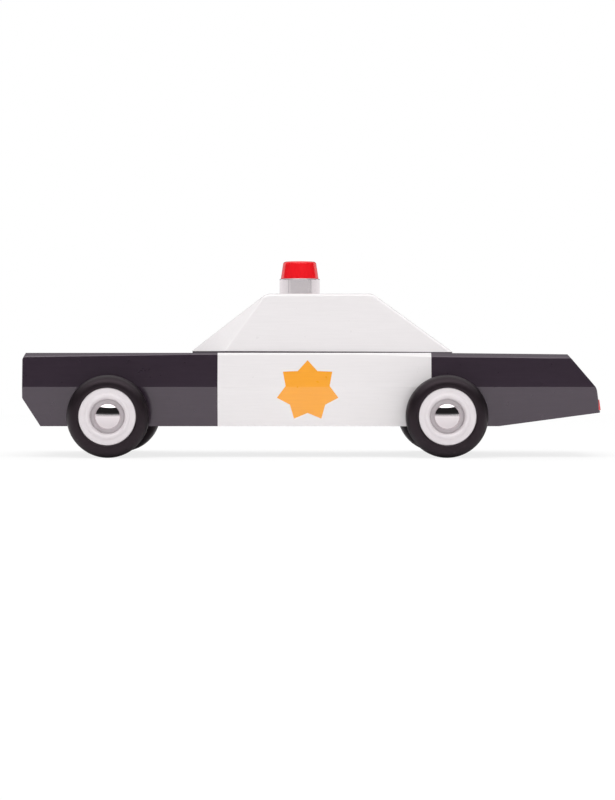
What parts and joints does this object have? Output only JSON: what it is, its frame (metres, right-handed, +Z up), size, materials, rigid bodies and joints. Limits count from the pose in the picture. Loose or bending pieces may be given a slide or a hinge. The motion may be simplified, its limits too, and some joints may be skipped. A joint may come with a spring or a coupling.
{
  "type": "wooden toy patrol car",
  "caption": "Black and white wooden toy patrol car with a red roof beacon, a sheriff's star on each door, and rubber-tyred wheels that roll on steel axles.",
  "frame": {"origin": "on the floor, under the middle of the car's length and width", "axes": "+X along the length towards the tail, +Y across towards the car's right side, +Z up"},
  "size_m": [0.1785, 0.0676, 0.0613],
  "materials": {
    "black_lacquer": "satin",
    "white_lacquer": "satin",
    "orange_lacquer": "satin",
    "cream_lacquer": "satin",
    "silver_lacquer": "satin",
    "red_lacquer": "satin",
    "turned_aluminium": "satin",
    "red_plastic": "gloss",
    "steel_rod": "satin",
    "black_rubber": "matte",
    "white_plastic": "satin",
    "chrome_cap": "polished"
  },
  "bodies": {
    "car": {"body_block": "black_lacquer", "cabin_block": "white_lacquer", "door_field_left": "white_lacquer", "door_field_right": "white_lacquer", "star_left": "orange_lacquer", "star_right": "orange_lacquer", "head_lamps_left": "cream_lacquer", "head_lamps_right": "cream_lacquer", "grille_bars": "silver_lacquer", "tail_lamp_left": "red_lacquer", "tail_lamp_right": "red_lacquer", "beacon_collar": "turned_aluminium", "beacon_lens": "red_plastic"},
    "front_wheelset": {"axle_front": "steel_rod", "tyre_front_left": "black_rubber", "tyre_front_right": "black_rubber", "rim_front_left": "white_plastic", "rim_front_right": "white_plastic", "hub_cap_front_left": "chrome_cap", "hub_cap_front_right": "chrome_cap"},
    "rear_wheelset": {"axle_rear": "steel_rod", "tyre_rear_left": "black_rubber", "tyre_rear_right": "black_rubber", "rim_rear_left": "white_plastic", "rim_rear_right": "white_plastic", "hub_cap_rear_left": "chrome_cap", "hub_cap_rear_right": "chrome_cap"}
  },
  "joints": [
    {"name": "front_axle_spin", "type": "hinge", "parent": "car", "child": "front_wheelset", "pos_m": [-0.0624, 0, 0.0127], "axis": [0, -1, 0], "continuous": true},
    {"name": "rear_axle_spin", "type": "hinge", "parent": "car", "child": "rear_wheelset", "pos_m": [0.0414, 0, 0.0127], "axis": [0, -1, 0], "continuous": true}
  ]
}
